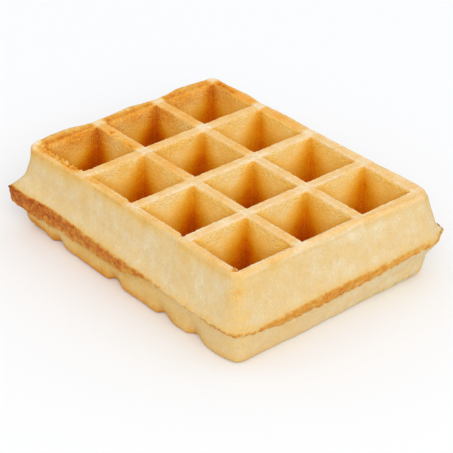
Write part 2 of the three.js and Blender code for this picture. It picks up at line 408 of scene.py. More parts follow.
def section_point(place, level, at):
    """[outside the pocket grid, height] of the side wall at a place, a ring level and an outline foot."""
    swell = flank_swell(at.y) if at.x < -FOOT_X + TOUCHING else 0
    if level <= WALL_START:
        return rim_point(place, level, swell)
    if level <= FLASH_START:
        return upper_wall_point(place, level, swell)
    if level <= LOWER_START:
        return along(flash_profile(place), (level - FLASH_START) / FLASH_RINGS)
    base = around("base_overhang", place)
    if at.y < -FOOT_Y + TOUCHING:
        base += front_swell(at.x) * smoothstep(level, LOWER_START + LOWER_RINGS * STEPS_FROM, BASE_START)
    base_lift = around("base_lift", place) + from_lips(place, "cut")
    if level <= BASE_START:
        return along(lower_profile(place, base, base_lift), (level - LOWER_START) / LOWER_RINGS)
    turn = math.pi / 2 * min((level - BASE_START) / BASE_RINGS, 1)
    outside = base - BASE_ROUNDING * (1 - math.cos(turn))
    return outside, base_lift * lerp(BASE_RISE, 1, math.cos(turn)) + BASE_ROUNDING * (1 - math.sin(turn))


print("rings in the side wall:", LAST_RING)

# %% [markdown]
# ## The pocketed faces
# Each face starts as one grid. Its lines are moved to the edges of the ribs, so that the squares
# between them are the mouths of the pockets. The faces of a mouth are then extruded down and drawn
# in a little at each step, which gives the drafted walls that let the waffle leave the iron.

# %% Grid lines
POCKET_CUTS = 18
RIB_CUTS = 4
RIM_CUTS = 5


def grid_lines(pockets):
    """Where the grid's lines lie across a row of pockets, from rim to rim."""
    start = -pockets * PITCH / 2 + RIB_WIDTH / 2
    lines = [start - RIB_WIDTH / 2 * (1 - k / RIM_CUTS) for k in range(RIM_CUTS)]
    for pocket in range(pockets):
        edge = start + pocket * PITCH
        lines += [edge + MOUTH * k / POCKET_CUTS for k in range(POCKET_CUTS)]
        if pocket + 1 < pockets:
            lines += [edge + MOUTH + RIB_WIDTH * k / RIB_CUTS for k in range(RIB_CUTS)]
    end = -start
    return lines + [end + RIB_WIDTH / 2 * k / RIM_CUTS for k in range(RIM_CUTS + 1)]


LINES_X = grid_lines(COLUMNS)
LINES_Y = grid_lines(ROWS)
print("grid of", len(LINES_X) - 1, "by", len(LINES_Y) - 1, "faces")

# %% [markdown]
# A point of the rim needs to know two things about the outline: the foot it is measured from, and
# the direction out. At a round corner the directions fan out from one foot.


# %% From the rim to the outline
def pocket_middle(x, y):
    """The middle of the pocket that holds or is nearest to a point."""
    column = min(max(math.floor((x + HALF_LENGTH) / PITCH), 0), COLUMNS - 1)
    row = min(max(math.floor((y + HALF_WIDTH) / PITCH), 0), ROWS - 1)
    return Vector(((column + 0.5) * PITCH - HALF_LENGTH, (row + 0.5) * PITCH - HALF_WIDTH, 0))


def outline_foot(x, y):
    """For a point of the grid's rim: the foot that the outline is measured from, and the direction out."""
    over_x = abs(x) - MOUTHS_END_X
    over_y = abs(y) - MOUTHS_END_Y
    side_x = math.copysign(1, x)
    side_y = math.copysign(1, y)
    if over_x > 0 and over_y > 0:
        turn = math.pi / 4 * (over_y / over_x if over_x >= over_y else 2 - over_x / over_y)
        out = Vector((math.cos(turn) * side_x, math.sin(turn) * side_y, 0))
        return Vector((FOOT_X * side_x, FOOT_Y * side_y, 0)), out
    if over_x >= over_y:
        return Vector((FOOT_X * side_x, y * FOOT_Y / MOUTHS_END_Y, 0)), Vector((side_x, 0, 0))
    return Vector((x * FOOT_X / MOUTHS_END_X, FOOT_Y * side_y, 0)), Vector((0, side_y, 0))


def place_of(foot, out):
    """The place, 0 to 8, of an outline point: 0 is the corner at -X -Y and 2 the one at +X -Y."""
    quarter = math.atan2(out.x, -out.y) / (math.pi / 2) % 4
    side = round(quarter)
    if abs(quarter - side) > 1e-4:
        return (2 * math.ceil(quarter) + CORNER_SPAN * (quarter % 1 - 0.5)) % 8
    share = ((foot.x / FOOT_X, foot.y / FOOT_Y, -foot.x / FOOT_X, -foot.y / FOOT_Y)[side % 4] + 1) / 2
    return (2 * (side % 4) + CORNER_SPAN / 2 + (2 - CORNER_SPAN) * share) % 8


def wall_place(foot, out, level):
    """The point of the side wall at a ring level. A corner reaches as far as the two sides it joins."""
    place = place_of(foot, out)
    outside, height = section_point(place, level, foot)
    reach_x, reach_y = outside, outside
    corner = 2 * round(place / 2)
    if abs(place - corner) < CORNER_SPAN / 2 - 1e-6:
        towards_x = CORNER_SPAN / 2 * (1 if corner % 4 else -1)
        reach_x = section_point((corner + towards_x) % 8, level, foot)[0]
        reach_y = section_point((corner - towards_x) % 8, level, foot)[0]
    sharp = SHARP_CORNERS[math.copysign(1, out.x), math.copysign(1, out.y)]
    sharp *= smoothstep(level, WALL_START, FLASH_START)
    squared = 1 + sharp * (1 / max(abs(out.x), abs(out.y)) - 1)
    x = foot.x + out.x * (CORNER_RADIUS + reach_x) * squared
    y = foot.y + out.y * (CORNER_RADIUS + reach_y) * squared
    return Vector((x, y, height))


# %% A pocketed face
def make_face(bm, layers, level, height, downwards):
    """A grid at one height whose rim reaches the side wall's ring of the given level."""
    made = bmesh.ops.create_grid(bm, x_segments=len(LINES_X) - 1, y_segments=len(LINES_Y) - 1, size=1)
    verts = made["verts"]
    for vert in verts:
        column = round((vert.co.x + 1) / 2 * (len(LINES_X) - 1))
        row = round((vert.co.y + 1) / 2 * (len(LINES_Y) - 1))
        vert.co = (LINES_X[column], LINES_Y[row], height)
        over = max(abs(vert.co.x) - MOUTHS_END_X, abs(vert.co.y) - MOUTHS_END_Y) / (RIB_WIDTH / 2)
        if over > 1e-6:
            foot, out = outline_foot(vert.co.x, vert.co.y)
            edge_x = min(max(vert.co.x, -MOUTHS_END_X), MOUTHS_END_X)
            edge_y = min(max(vert.co.y, -MOUTHS_END_Y), MOUTHS_END_Y)
            vert[layers["foot"]] = foot
            vert[layers["out"]] = out
            vert.co = Vector((edge_x, edge_y, height)).lerp(wall_place(foot, out, level), over)
    faces = {face for vert in verts for face in vert.link_faces}
    if downwards:
        bmesh.ops.reverse_faces(bm, faces=list(faces))
    return verts, faces


def in_mouth(face):
    """Whether a face of the grid lies in the mouth of a pocket."""
    middle = face.calc_center_median()
    off = middle - pocket_middle(middle.x, middle.y)
    return max(abs(off.x), abs(off.y)) < MOUTH / 2


def wall_shares(near_mouth, steps):
    """How far down a drafted wall its rings lie: some near the mouth, then even steps to its foot."""
    return near_mouth + [lerp(near_mouth[-1], 1, k / steps) for k in range(1, steps + 1)]


def pocket_steps(depth, walls):
    """[depth, half side] of each step down a pocket: its drafted walls, then the fillet of its floor."""
    slope = math.tan(POCKET_DRAFT)
    foot = depth - FLOOR_FILLET
    steps = [(foot * share, MOUTH / 2 - slope * foot * share) for share in walls]
    inner = MOUTH / 2 - slope * foot - FLOOR_FILLET
    for turn in (math.radians(30), math.radians(60), math.radians(90)):
        steps.append((foot + FLOOR_FILLET * math.sin(turn), inner + FLOOR_FILLET * math.cos(turn)))
    return steps


def sink_pockets(bm, faces, height, depth, walls, downwards):
    """Extrudes the mouths of a face step by step into pockets."""
    region = [face for face in faces if in_mouth(face)]
    half = MOUTH / 2
    for step_depth, step_half in pocket_steps(depth, walls):
        made = bmesh.ops.extrude_face_region(bm, geom=region, use_keep_orig=True)
        bmesh.ops.delete(bm, geom=region, context="FACES")
        region = [item for item in made["geom"] if isinstance(item, bmesh.types.BMFace)]
        for vert in (item for item in made["geom"] if isinstance(item, bmesh.types.BMVert)):
            middle = pocket_middle(vert.co.x, vert.co.y)
            vert.co = middle + (vert.co - middle) * (step_half / half)
            vert.co.z = height + step_depth if downwards else height - step_depth
        half = step_half


TOP_WALLS = wall_shares([0.045, 0.1, 0.17], 10)
BOTTOM_WALLS = wall_shares([0.1], 5)
print("rings down a pocket's wall:", len(TOP_WALLS), "on top and", len(BOTTOM_WALLS), "below")

# %% [markdown]
# ## Closing the body
# The rim of the upper face is extruded outwards ring by ring down the side wall until its last ring
# lies on the rim of the lower face, and the two are merged there. Each point carries notes for the
# later steps in layers of its own: its foot and direction on the outline, its ring level, its home
# on the smooth mesh, and the four values that the crust material reads.

# %% The whole cage
WORKING_VECTORS = ("foot", "out", "home")
CRUST_VALUES = ("browning_and_shading", "dried", "rib", "coarse")


def rim_edges(bm):
    return [edge for edge in bm.edges if edge.is_boundary]


def make_cage():
    bm = bmesh.new()
    layers = {name: bm.verts.layers.float_vector.new(name) for name in WORKING_VECTORS}
    for name in ("level", *CRUST_VALUES):
        layers[name] = bm.verts.layers.float.new(name)
    top_verts, top_faces = make_face(bm, layers, 0, THICKNESS, False)
    for vert in top_verts:
        vert[layers["level"]] = -1
    ring = rim_edges(bm)
    for vert in {vert for edge in ring for vert in edge.verts}:
        vert[layers["level"]] = 0
    for level in range(1, LAST_RING + 1):
        made = bmesh.ops.extrude_edge_only(bm, edges=ring)
        ring = [item for item in made["geom"] if isinstance(item, bmesh.types.BMEdge)]
        for vert in (item for item in made["geom"] if isinstance(item, bmesh.types.BMVert)):
            vert[layers["level"]] = level
            vert.co = wall_place(Vector(vert[layers["foot"]]), Vector(vert[layers["out"]]), level)
    bottom_verts, bottom_faces = make_face(bm, layers, LAST_RING, 0, True)
    for vert in bottom_verts:
        vert[layers["level"]] = LAST_RING + 1
    sink_pockets(bm, top_faces, THICKNESS, TOP_POCKET_DEPTH, TOP_WALLS, False)
    sink_pockets(bm, bottom_faces, 0, BOTTOM_POCKET_DEPTH, BOTTOM_WALLS, True)
    bmesh.ops.remove_doubles(bm, verts=bm.verts, dist=1e-3)
    bmesh.ops.recalc_face_normals(bm, faces=bm.faces)
    return bm, layers


bm, layers = make_cage()
print("cage:", len(bm.faces), "faces, open edges:", len(rim_edges(bm)))
print("volume", round(bm.calc_volume() / 1000, 1), "cm3")

# %% [markdown]
# ## Fine mesh
# The ribs and the flash carry the coarsest crumb, so only they get a finer mesh. Every long edge
# there is cut in two, on the ribs twice, and the side wall's new points go back onto the exact
# section.

# %% Bevel and refine
MOUTH_BEVEL = 0.3
SHARP_FOLD = math.radians(40)
LONG_EDGE = 0.62
RIB_EDGE = 0.5
FINE_DEPTH = 2.2
FINE_RINGS = 1.5
RIB_DEPTH = 0.6


def is_mouth_edge(edge):
    """The edges between a rib's top and the walls of its pockets, and the upright corners of the pockets."""
    if len(edge.link_faces) != 2 or edge.calc_face_angle(0) < SHARP_FOLD:
        return False
    middle = (edge.verts[0].co + edge.verts[1].co) / 2
    return abs(middle.x) < MOUTHS_END_X + 0.1 and abs(middle.y) < MOUTHS_END_Y + 0.1


def is_fine(vert):
    """Whether a point lies on the ribs, near the mouths or on the flash."""
    flash = FLASH_START - FINE_RINGS < vert[layers["level"]] < LOWER_START + FINE_RINGS
    return flash or vert.co.z > THICKNESS - FINE_DEPTH


def is_rib(vert):
    return vert.co.z > THICKNESS - RIB_DEPTH


def cut_long_edges(bm, longest, wanted):
    edges = [edge for edge in bm.edges
             if edge.calc_length() > longest and wanted(edge.verts[0]) and wanted(edge.verts[1])]
    bmesh.ops.subdivide_edges(bm, edges=edges, cuts=1, use_grid_fill=True)


def refine(bm):
    edges = [edge for edge in bm.edges if is_mouth_edge(edge)]
    bmesh.ops.bevel(bm, geom=edges, offset=MOUTH_BEVEL, segments=2, profile=0.5, affect="EDGES", material=-1)
    cut_long_edges(bm, LONG_EDGE, is_fine)
    cut_long_edges(bm, RIB_EDGE, is_rib)
    for vert in bm.verts:
        level = vert[layers["level"]]
        if 0 < level < LAST_RING:
            foot = Vector(vert[layers["foot"]])
            out = Vector(vert[layers["out"]]).normalized()
            vert.co = wall_place(foot, out, level)


refine(bm)
print("fine mesh:", len(bm.faces), "faces, open edges:", len(rim_edges(bm)))

# %% [markdown]
# ## Dents, crumb and torn spots
# Baked batter is never flat. Wide, low swellings come from steam, a fine crumb from small bubbles,
# and pits from bubbles that burst at the iron. Noise moves each point along its normal, with an
# amount that suits the region it lies in. A displace modifier could do part of this, but not the
# regions, and the browning needs the same regions.


# %% Regions
def region_of(home, level):
    """Which part of the waffle a point of the smooth mesh lies on."""
    if 0 <= level <= LAST_RING:
        return "flash" if FLASH_START - 0.5 < level < LOWER_START else "wall"
    if home.z > THICKNESS - 0.2 or home.z < 0.05:
        return "rib"
    return "pocket"


# region: (swelling, its size), (lumps, their size), (crumb, its size), in millimetres
ROUGHNESS = {
    "wall": ((0.36, 11), (0.2, 4.2), (0.07, 1.9)),
    "flash": ((0.2, 7), (0.3, 2.6), (0.34, 1.2)),
    "rib": ((0.14, 9), (0.14, 2.6), (0.16, 1.1)),
    "pocket": ((0.16, 8), (0.05, 3), (0.04, 1.6)),
}
TOP_SLACK = 0.2
MOUTH_SOFTNESS = 1.2


def noise_sum(home, layers_of_noise):
    total = 0
    for seed, (amount, size) in enumerate(layers_of_noise):
        total += amount * noise.noise(home / size + Vector((17 * seed, 5, 3)))
    return total


def off_face(home):
    """How far a point lies from the nearer of the two faces, in height."""
    return min(THICKNESS - home.z, home.z)


def roughness_at(home, region):
    """A pocket is as rough as the ribs at its mouth, and smoother further down."""
    if region != "pocket":
        return noise_sum(home, ROUGHNESS[region])
    share = smoothstep(off_face(home), 0.2, MOUTH_SOFTNESS)
    return lerp(noise_sum(home, ROUGHNESS["rib"]), noise_sum(home, ROUGHNESS["pocket"]), share)


# %% [markdown]
# Where the plates closed a little apart, a rim is rolled over instead of sharp. The points near the
# mouth of such a pocket slide onto a quarter circle: those of the rim come down onto its upper half
# and those of the pocket's wall move out onto its lower half.

# %% Rolled rims
FLANK_ROUNDING = 3.2
REAR_ROUNDING = 1.4
LEAST_ROUNDING = 0.3
ROUNDING_EASE = 3


def mouth_rounding(home):
    """[radius, direction into the pocket, where the mouth's edge lies along it] of a rolled rim."""
    off = home - pocket_middle(home.x, home.y)
    beside = 1 - smoothstep(abs(off.y), MOUTH / 2 - ROUNDING_EASE, MOUTH / 2)
    if home.x < -HALF_LENGTH + PITCH / 2 and off.x < 0 and beside > 0:
        return FLANK_ROUNDING * beside, Vector((1, 0, 0)), -MOUTHS_END_X
    beside = 1 - smoothstep(abs(off.x), MOUTH / 2 - ROUNDING_EASE, MOUTH / 2)
    if home.y > HALF_WIDTH - PITCH / 2 and off.y > 0 and home.x < 0 and beside > 0:
        return REAR_ROUNDING * beside, Vector((0, -1, 0)), -MOUTHS_END_Y
    return 0, None, 0


def roll_over(home):
    """How far a point near a mouth moves when its edge is rolled over."""
    radius, inwards, edge = mouth_rounding(home)
    if radius < LEAST_ROUNDING:
        return Vector()
    beyond = max(edge - home.dot(inwards), 0)
    down = THICKNESS - home.z
    past = down - beyond
    if abs(past) >= radius:
        return Vector()
    turn = (past / radius + 1) * math.pi / 4
    new_beyond = radius * (1 - math.sin(turn))
    new_down = radius * (1 - math.cos(turn))
    return -inwards * (new_beyond - beyond) + Vector((0, 0, down - new_down))


# %% [markdown]
# Parts of the rims and ribs stuck to the iron and tore when the waffle was lifted out. A strip
# along their tops is sunk and crumbly there, and the browner inside shows.

# %% Torn strips
# (from x, to x, y, half width, how badly torn)
TORN_STRIPS = (
    (-54.6, -33, -41, 1.4, 1), (-49, -32, -15.4, 0.6, 0.5),
    (-51, -42, 41.4, 0.8, 0.5), (-26, -20, -41, 0.6, 0.4),
)
TORN_DEPTH = 0.9
TORN_SKIN = 1.2
CLUMP_SIZE = 0.9


def torn_share(home):
    """How much a point belongs to a torn strip, in clumps of crumb."""
    if home.z < THICKNESS - TORN_SKIN:
        return 0
    torn = 0
    for from_x, to_x, y, half_width, strength in TORN_STRIPS:
        gap = math.hypot(home.x - min(max(home.x, from_x), to_x), home.y - y)
        torn = max(torn, strength * (1 - smoothstep(gap, half_width - 0.3, half_width + 0.5)))
    return torn * smoothstep(noise.noise(home / CLUMP_SIZE + Vector((4, 4, 4))), -0.4, 0.25)


print("torn strips:", len(TORN_STRIPS))

# %% Roughen
# the underside of the flash hangs down unevenly between these levels
RAGGED_FROM = LOWER_START - 2.2
RAGGED_TO = LOWER_START + 0.6
RAGGED_HEIGHT = 0.7
RAGGED_SIZE = 1.5


def roughen(bm):
    bm.normal_update()
    for vert in bm.verts:
        vert[layers["home"]] = vert.co
    for vert in bm.verts:
        home = Vector(vert[layers["home"]])
        level = vert[layers["level"]]
        region = region_of(home, level)
        move = vert.normal * roughness_at(home, region)
        if region in ("rib", "pocket"):
            slack = TOP_SLACK * (1 - smoothstep(off_face(home), 0, MOUTH_SOFTNESS))
            move.z -= math.copysign(slack, home.z - THICKNESS / 2)
        if RAGGED_FROM < level < RAGGED_TO:
            move.z += RAGGED_HEIGHT * noise.noise(home / RAGGED_SIZE)
        if level < 1:
            move += roll_over(home)
        move.z -= TORN_DEPTH * torn_share(home)
        vert.co = home + move


roughen(bm)
print("roughened", len(bm.verts), "points")

# %% [markdown]
# ## Pits and nicks
# A pit is pressed in round a point: deepest in the middle and gone at one and a half times its
# radius. It shows the browner inside of a burst bubble. The crumb on the lip of the right corner is
# made the same way with a depth below nothing, which pushes it out, and a browning below nothing,
# which makes it paler: partly its own pale crumb, partly painted light on a face turned from the light.

# %% Pits
# (x, y, z, radius, depth, browning)
PITS = (
    (-53.8, -43.9, 30, 0.7, 0.6, 0.25), (-40.5, -46.8, 26.5, 0.9, 0.5, 0.15),
    (-45, -50.5, 13.3, 0.9, 0.8, 0.35), (-11, -49.5, 12.8, 0.8, 0.6, 0.3),
    (-46.8, -14.4, 33.9, 1.0, 0.8, 0.3), (-43.4, -15.2, 33.9, 0.8, 0.6, 0.25),
    (-34.2, -15.9, 33.9, 0.9, 0.6, 0.25), (-49, 41.8, 33.9, 0.7, 0.4, 0.12), (-44, 41.2, 33.9, 0.7, 0.4, 0.1),
    (-3.1, -40.1, 33.9, 0.8, 0.6, 0.1), (25.5, -40.2, 33.9, 0.9, 0.7, 0.1), (53.1, -41, 33.9, 1.1, 0.8, 0.2),
    (55.5, -42.6, 33.6, 0.9, 0.7, 0.12), (-30.2, -36.8, 33.4, 0.8, 0.6, 0.3),
    # the last is the crumb on the right lip: pushed out, and made paler, partly its own pale crumb and partly
    # painted light
    (42, -47.3, 12.5, 0.7, 0.5, 0.3), (61.9, 47.9, 19, 1.6, -1, -0.15),
)
PIT_REACH = 1.5


def press_pits(bm, pits):
    tree = kdtree.KDTree(len(bm.verts))
    for index, vert in enumerate(bm.verts):
        tree.insert(vert.co, index)
    tree.balance()
    bm.verts.ensure_lookup_table()
    bm.normal_update()
    for x, y, z, radius, depth, browning_and_shading in pits:
        for _, index, gap in tree.find_range(Vector((x, y, z)), radius * PIT_REACH):
            vert = bm.verts[index]
            share = max(1 - (gap / radius / PIT_REACH) ** 2, 0) ** 2
            vert.co -= vert.normal * depth * share
            vert[layers["browning_and_shading"]] += browning_and_shading * share


press_pits(bm, PITS)
print("pits and crumbs:", len(PITS))

# %% [markdown]
# ## Browning
# Browning goes with heat and with how dry the batter is. The pockets' floors and inner corners,
# which lay deepest round the studs, brown most, and so does the thin flash at the seam. The side
# walls hardly touched the iron and stay pale. Each point gets one number, from 0 for pale batter to
# 1 for dark brown, which the material turns into a colour. The same number also carries painted
# shade on the back walls of the pockets and on some edges, and painted light on the lip of the
# right corner.

# %% Browning and painted shade of the pockets
TOAST_AT_FLANK = 0.25
TOAST_REACH = 27
TOAST_BEYOND = 0.04
TOAST_FADE = 0.6
TOAST_PEACH = 0.75
PLAIN_WALL = 0.22
PLAIN_DEEPER = 0.06
# painted shade: the back wall of each pocket, which faces the front, is browned more as if less light reached
# it
BACK_WALL_SHADE = 0.07
MOUTH_TOAST = 0.06
MOUTH_TOAST_WIDTH = 6
CORNER_AT_MOUTH = 0.34
CORNER_GAIN = 0.4
CORNER_GAIN_DEPTH = 5
CORNER_AT_FLOOR = 0.06
CORNER_WIDTH = 0.8
FAR_ROW_RELIEF = 0.07
FLOOR_BROWNING = 0.5
COLUMN_BLOTCHES = (0.24, 0.12, 0.08, 0.06)


def column_of(home):
    return min(max(math.floor((home.x + HALF_LENGTH) / PITCH), 0), COLUMNS - 1)


def pocket_depth(home):
    """How deep a point lies in its pocket. The bottom pockets end below a third of the thickness."""
    return THICKNESS - home.z if home.z > THICKNESS / 3 else home.z


def toast_at(home):
    """How much more than the plain browning a pocket's wall has: most over the flank and near the mouth."""
    from_flank = home.x + HALF_LENGTH
    toast = TOAST_AT_FLANK * (1 - smoothstep(from_flank, 0, TOAST_REACH))
    toast += TOAST_BEYOND * (1 - smoothstep(from_flank, TOAST_REACH, 2 * TOAST_REACH))
    return toast * (1 - TOAST_FADE * smoothstep(pocket_depth(home), 1, 8))


def toasted_share(home):
    """0 to 1: how far a pocket's wall has taken on the peach colour of the toasted rims."""
    return min(4 * toast_at(home), 1) * (1 - smoothstep(off_face(home), 4, 11))


def corner_browning(depth):
    """The browning right in an upright corner of a pocket at a depth."""
    gain = CORNER_GAIN * (1 - math.exp(-depth / CORNER_GAIN_DEPTH))
    return CORNER_AT_MOUTH + gain + CORNER_AT_FLOOR * (depth / TOP_POCKET_DEPTH) ** 2


def pocket_browning_and_shade(home):
    """Browning spreads wider from each upright corner of a pocket the deeper it is. The back walls also get
    painted shade.
    """
    depth = pocket_depth(home)
    middle = pocket_middle(home.x, home.y)
    half = MOUTH / 2 - math.tan(POCKET_DRAFT) * depth
    off_x = abs(home.x - middle.x)
    off_y = abs(home.y - middle.y)
    gap = max(half - min(off_x, off_y), 0)
    plain = PLAIN_WALL + PLAIN_DEEPER * smoothstep(depth, 7, 15)
    # painted shade on the back wall of the pocket
    if home.y - middle.y > off_x:
        plain += BACK_WALL_SHADE * (1 - 0.5 * toasted_share(home))
    plain += MOUTH_TOAST * math.exp(-(gap / MOUTH_TOAST_WIDTH) ** 2) * (1 - smoothstep(depth, 2, 6))
    corner = corner_browning(depth)
    if home.y > HALF_WIDTH - PITCH:
        corner -= FAR_ROW_RELIEF * smoothstep(depth, 6, 12)
    value = lerp(plain, corner, math.exp(-(gap / (CORNER_WIDTH * (1 + depth))) ** 2))
    value = lerp(value, FLOOR_BROWNING, smoothstep(half - max(off_x, off_y), 0.5, 3))
    blotch = COLUMN_BLOTCHES[column_of(home)] * noise.noise(home / 9 + Vector((3, 8, 1)))
    return 1 - (1 - value) * (1 - toast_at(home) - blotch)


# %% [markdown]
# The ribs bake unevenly too. They are palest where they cross, and the rolled rims over the flank
# and at the back, which stood closest to the iron, are the most toasted.

# %% Browning of the ribs
RIB_BROWNING = 0.08
LONG_RIB_TOAST = 0.11
SHORT_RIB_TOAST = 0.06
COLUMN_RIB_TOAST = (0.1, 0.06, 0.0, 0.0)
RIB_BLOTCH = 0.1
FLANK_TOAST = 0.31
FLANK_EDGE_RELIEF = 0.2
FLANK_UNEVENNESS = 0.35
REAR_TOAST = 0.16
SIDE_RIM_TOAST = 0.06


def beside_pocket(off):
    """1 along the side of a pocket's mouth and 0 past its corners, by the distance along the side."""
    return 1 - smoothstep(abs(off), MOUTH / 2 - 2, MOUTH / 2 + 0.8)


def flank_share(home):
    """How much a point belongs to the rolled rim over the flank."""
    off = home - pocket_middle(home.x, home.y)
    return beside_pocket(off.y) * (1 - smoothstep(home.x, -MOUTHS_END_X - 0.5, -MOUTHS_END_X + 1))


def rib_browning(home):
    """The browning of a rib or a rim."""
    off = home - pocket_middle(home.x, home.y)
    along_x = beside_pocket(off.x) * smoothstep(abs(off.y), MOUTH / 2 - 1, MOUTH / 2)
    along_y = beside_pocket(off.y) * smoothstep(abs(off.x), MOUTH / 2 - 1, MOUTH / 2)
    value = RIB_BROWNING + max(LONG_RIB_TOAST * along_x, SHORT_RIB_TOAST * along_y)
    value += COLUMN_RIB_TOAST[column_of(home)] * max(along_x, along_y)
    value += SIDE_RIM_TOAST * smoothstep(home.x, HALF_LENGTH - 1, HALF_LENGTH + 1)
    rear = REAR_TOAST * along_x * smoothstep(home.y, MOUTHS_END_Y - 1, MOUTHS_END_Y)
    rear *= (1 - smoothstep(home.x, -48, 10)) * (1 - smoothstep(home.y, HALF_WIDTH - 0.5, HALF_WIDTH + 1.5))
    edge_relief = FLANK_EDGE_RELIEF * smoothstep(-home.x, HALF_LENGTH - 1.5, HALF_LENGTH + 1)
    uneven = FLANK_UNEVENNESS * noise.noise(home / 2 + Vector((8, 2, 5)))
    flank = (FLANK_TOAST * (1 + uneven) - edge_relief) * flank_share(home)
    return value + max(flank, rear) + RIB_BLOTCH * noise.noise(home / 6 + Vector((2, 4, 9)))


# %% [markdown]
# The flash is the thin batter that crept out between the plates. It is brown where it is thick and
# stands out, and thins to a pale ledge on part of the long side.

# %% Browning of the side wall, with painted shade and light
# one value for each of the eight places
# at the right corner the seam is partly painted light: paler, as the lip's face there is turned away from the
# light
SEAM_BROWNING_AND_LIGHT = (0.7, 0.53, 0.4, 0.46, 0.36, 0.45, 0.5, 0.56)
LOWER_BROWNING = (0.1, 0.15, 0.03, 0.0, -0.03, 0.1, 0.14, 0.18)
# partly real browning and partly painted shade: the bottom edge is darker along the front and the left, where
# the floor's contact shadow falls
EDGE_BROWNING_AND_SHADE = (0.24, 0.24, 0.12, -0.04, 0.02, 0.16, 0.18, 0.2)
UNDER_RIM_BROWNING = (0.15, 0.1, 0.04, -0.04, 0.04, 0.1, 0.1, 0.15)
WALL_BROWNING = 0.11
WALL_DRIFT = 0.05
WALL_PATCHES = 0.045
UNDER_RIM_DRIFT = 0.1
# painted shade: darkens the rounded edge of the rim, which would catch too much light
RIM_EDGE_SHADE = 0.06
ABOVE_SEAM_BROWNING = 0.1
NEAR_EDGE = 2.0
NEAR_EDGE_BROWNING = 0.07
BAND_FADE = 0.27
# the places between which the flash turns into the pale ledge and back
LEDGE_BROWNING = 0.24
PALE_FROM = (1.3, 1.35)
PALE_TO = (1.88, 1.92)
# how uneven the seam is along the side at +X, next to 1 everywhere else
SIDE_SEAM_NOISE = 0.7


def eased(values, place):
    """The value at a place, from a list with one value for each of the eight places."""
    whole = math.floor(place)
    return lerp(values[whole % 8], values[(whole + 1) % 8], place - whole)


def on_side(place):
    """1 along the side between the near and the right corner."""
    return smoothstep(place, NEAR_EDGE - 0.1, NEAR_EDGE + 0.1) * (1 - smoothstep(place, 4.1, 4.3))


def seam_browning_and_light(place, level, home):
    """The browning of the flash, and 0 away from it, with painted light at the right corner. Noise makes its
    two edges ragged.
    """
    uneven = lerp(1, SIDE_SEAM_NOISE, on_side(place))
    fade = BAND_FADE * smoothstep(level, FLASH_START + 2, LOWER_START) * (1 - on_side(place))
    ledge = smoothstep(place, *PALE_FROM) * (1 - smoothstep(place, *PALE_TO))
    strength = lerp(eased(SEAM_BROWNING_AND_LIGHT, place) - fade, LEDGE_BROWNING, ledge)
    top = FLASH_START - 0.2 + 0.25 * noise.noise(home / 1.5)
    bottom = LOWER_START - 0.5 + 1.6 * uneven * noise.noise(home / 1.8)
    band = smoothstep(level, top - 0.35, top + 0.35) * (1 - smoothstep(level, bottom - 0.7, bottom + 0.7))
    return band * (strength + uneven * (0.18 * noise.noise(home / 2.4) + 0.2 * noise.noise(home / 1.1)))


def wall_browning_and_shade(place, level, home):
    """The drafted walls: golden under the rim and above the seam, browner and painted darker towards the
    bottom edge, and painted darker at the rim's rounded edge.
    """
    drift = noise.noise(home / 9 + Vector((6, 1, 2)))
    patches = noise.noise(home / 3.5 + Vector((1, 7, 3)))
    under_rim = eased(UNDER_RIM_BROWNING, place) + UNDER_RIM_DRIFT * drift
    under_rim *= 1 - smoothstep(level, WALL_START, WALL_START + 6 + 3 * drift)
    # painted shade on the rim's rounded edge
    under_rim += RIM_EDGE_SHADE * (1 - smoothstep(level, WALL_START, WALL_START + 2.5))
    from_edge = (place - NEAR_EDGE) / (CORNER_SPAN / 2)
    near_edge = NEAR_EDGE_BROWNING * math.exp(-from_edge ** 2) * smoothstep(level, WALL_START, WALL_START + 4)
    near_edge *= 1 - smoothstep(level, FLASH_START - 1, FLASH_START)
    above_seam = ABOVE_SEAM_BROWNING * smoothstep(level, FLASH_START - 2, FLASH_START)
    above_seam *= 1 - smoothstep(level, FLASH_START, LOWER_START)
    lower = smoothstep(level, FLASH_START, LOWER_START) * eased(LOWER_BROWNING, place)
    # browner and painted darker towards the bottom edge
    lower += smoothstep(level, BASE_START - 3, BASE_START + 2) * eased(EDGE_BROWNING_AND_SHADE, place)
    plain = WALL_BROWNING + WALL_DRIFT * drift + WALL_PATCHES * patches
    return plain + under_rim + near_edge + above_seam + lower


# %% [markdown]
# Three more values go with the browning: how far a point was dried by air instead of pressed by the
# iron, how much of a rib's colour it has, and how coarse its crumb is. They fade into each other
# from region to region.

# %% Brown the mesh and paint its shade
FLANK_DRYNESS = 0.45
FLANK_SMOOTHNESS = 0.35
FLANK_COARSENESS = 1.6
TORN_BROWNING = 0.4
MOUTH_COARSENESS = 1.2
POCKET_COARSENESS = 0.5
TOASTED_COARSENESS = 1.9
FLASH_COARSENESS = 1.9
SIDE_FLASH_COARSENESS = 1.3
WALL_COARSENESS = 0.9


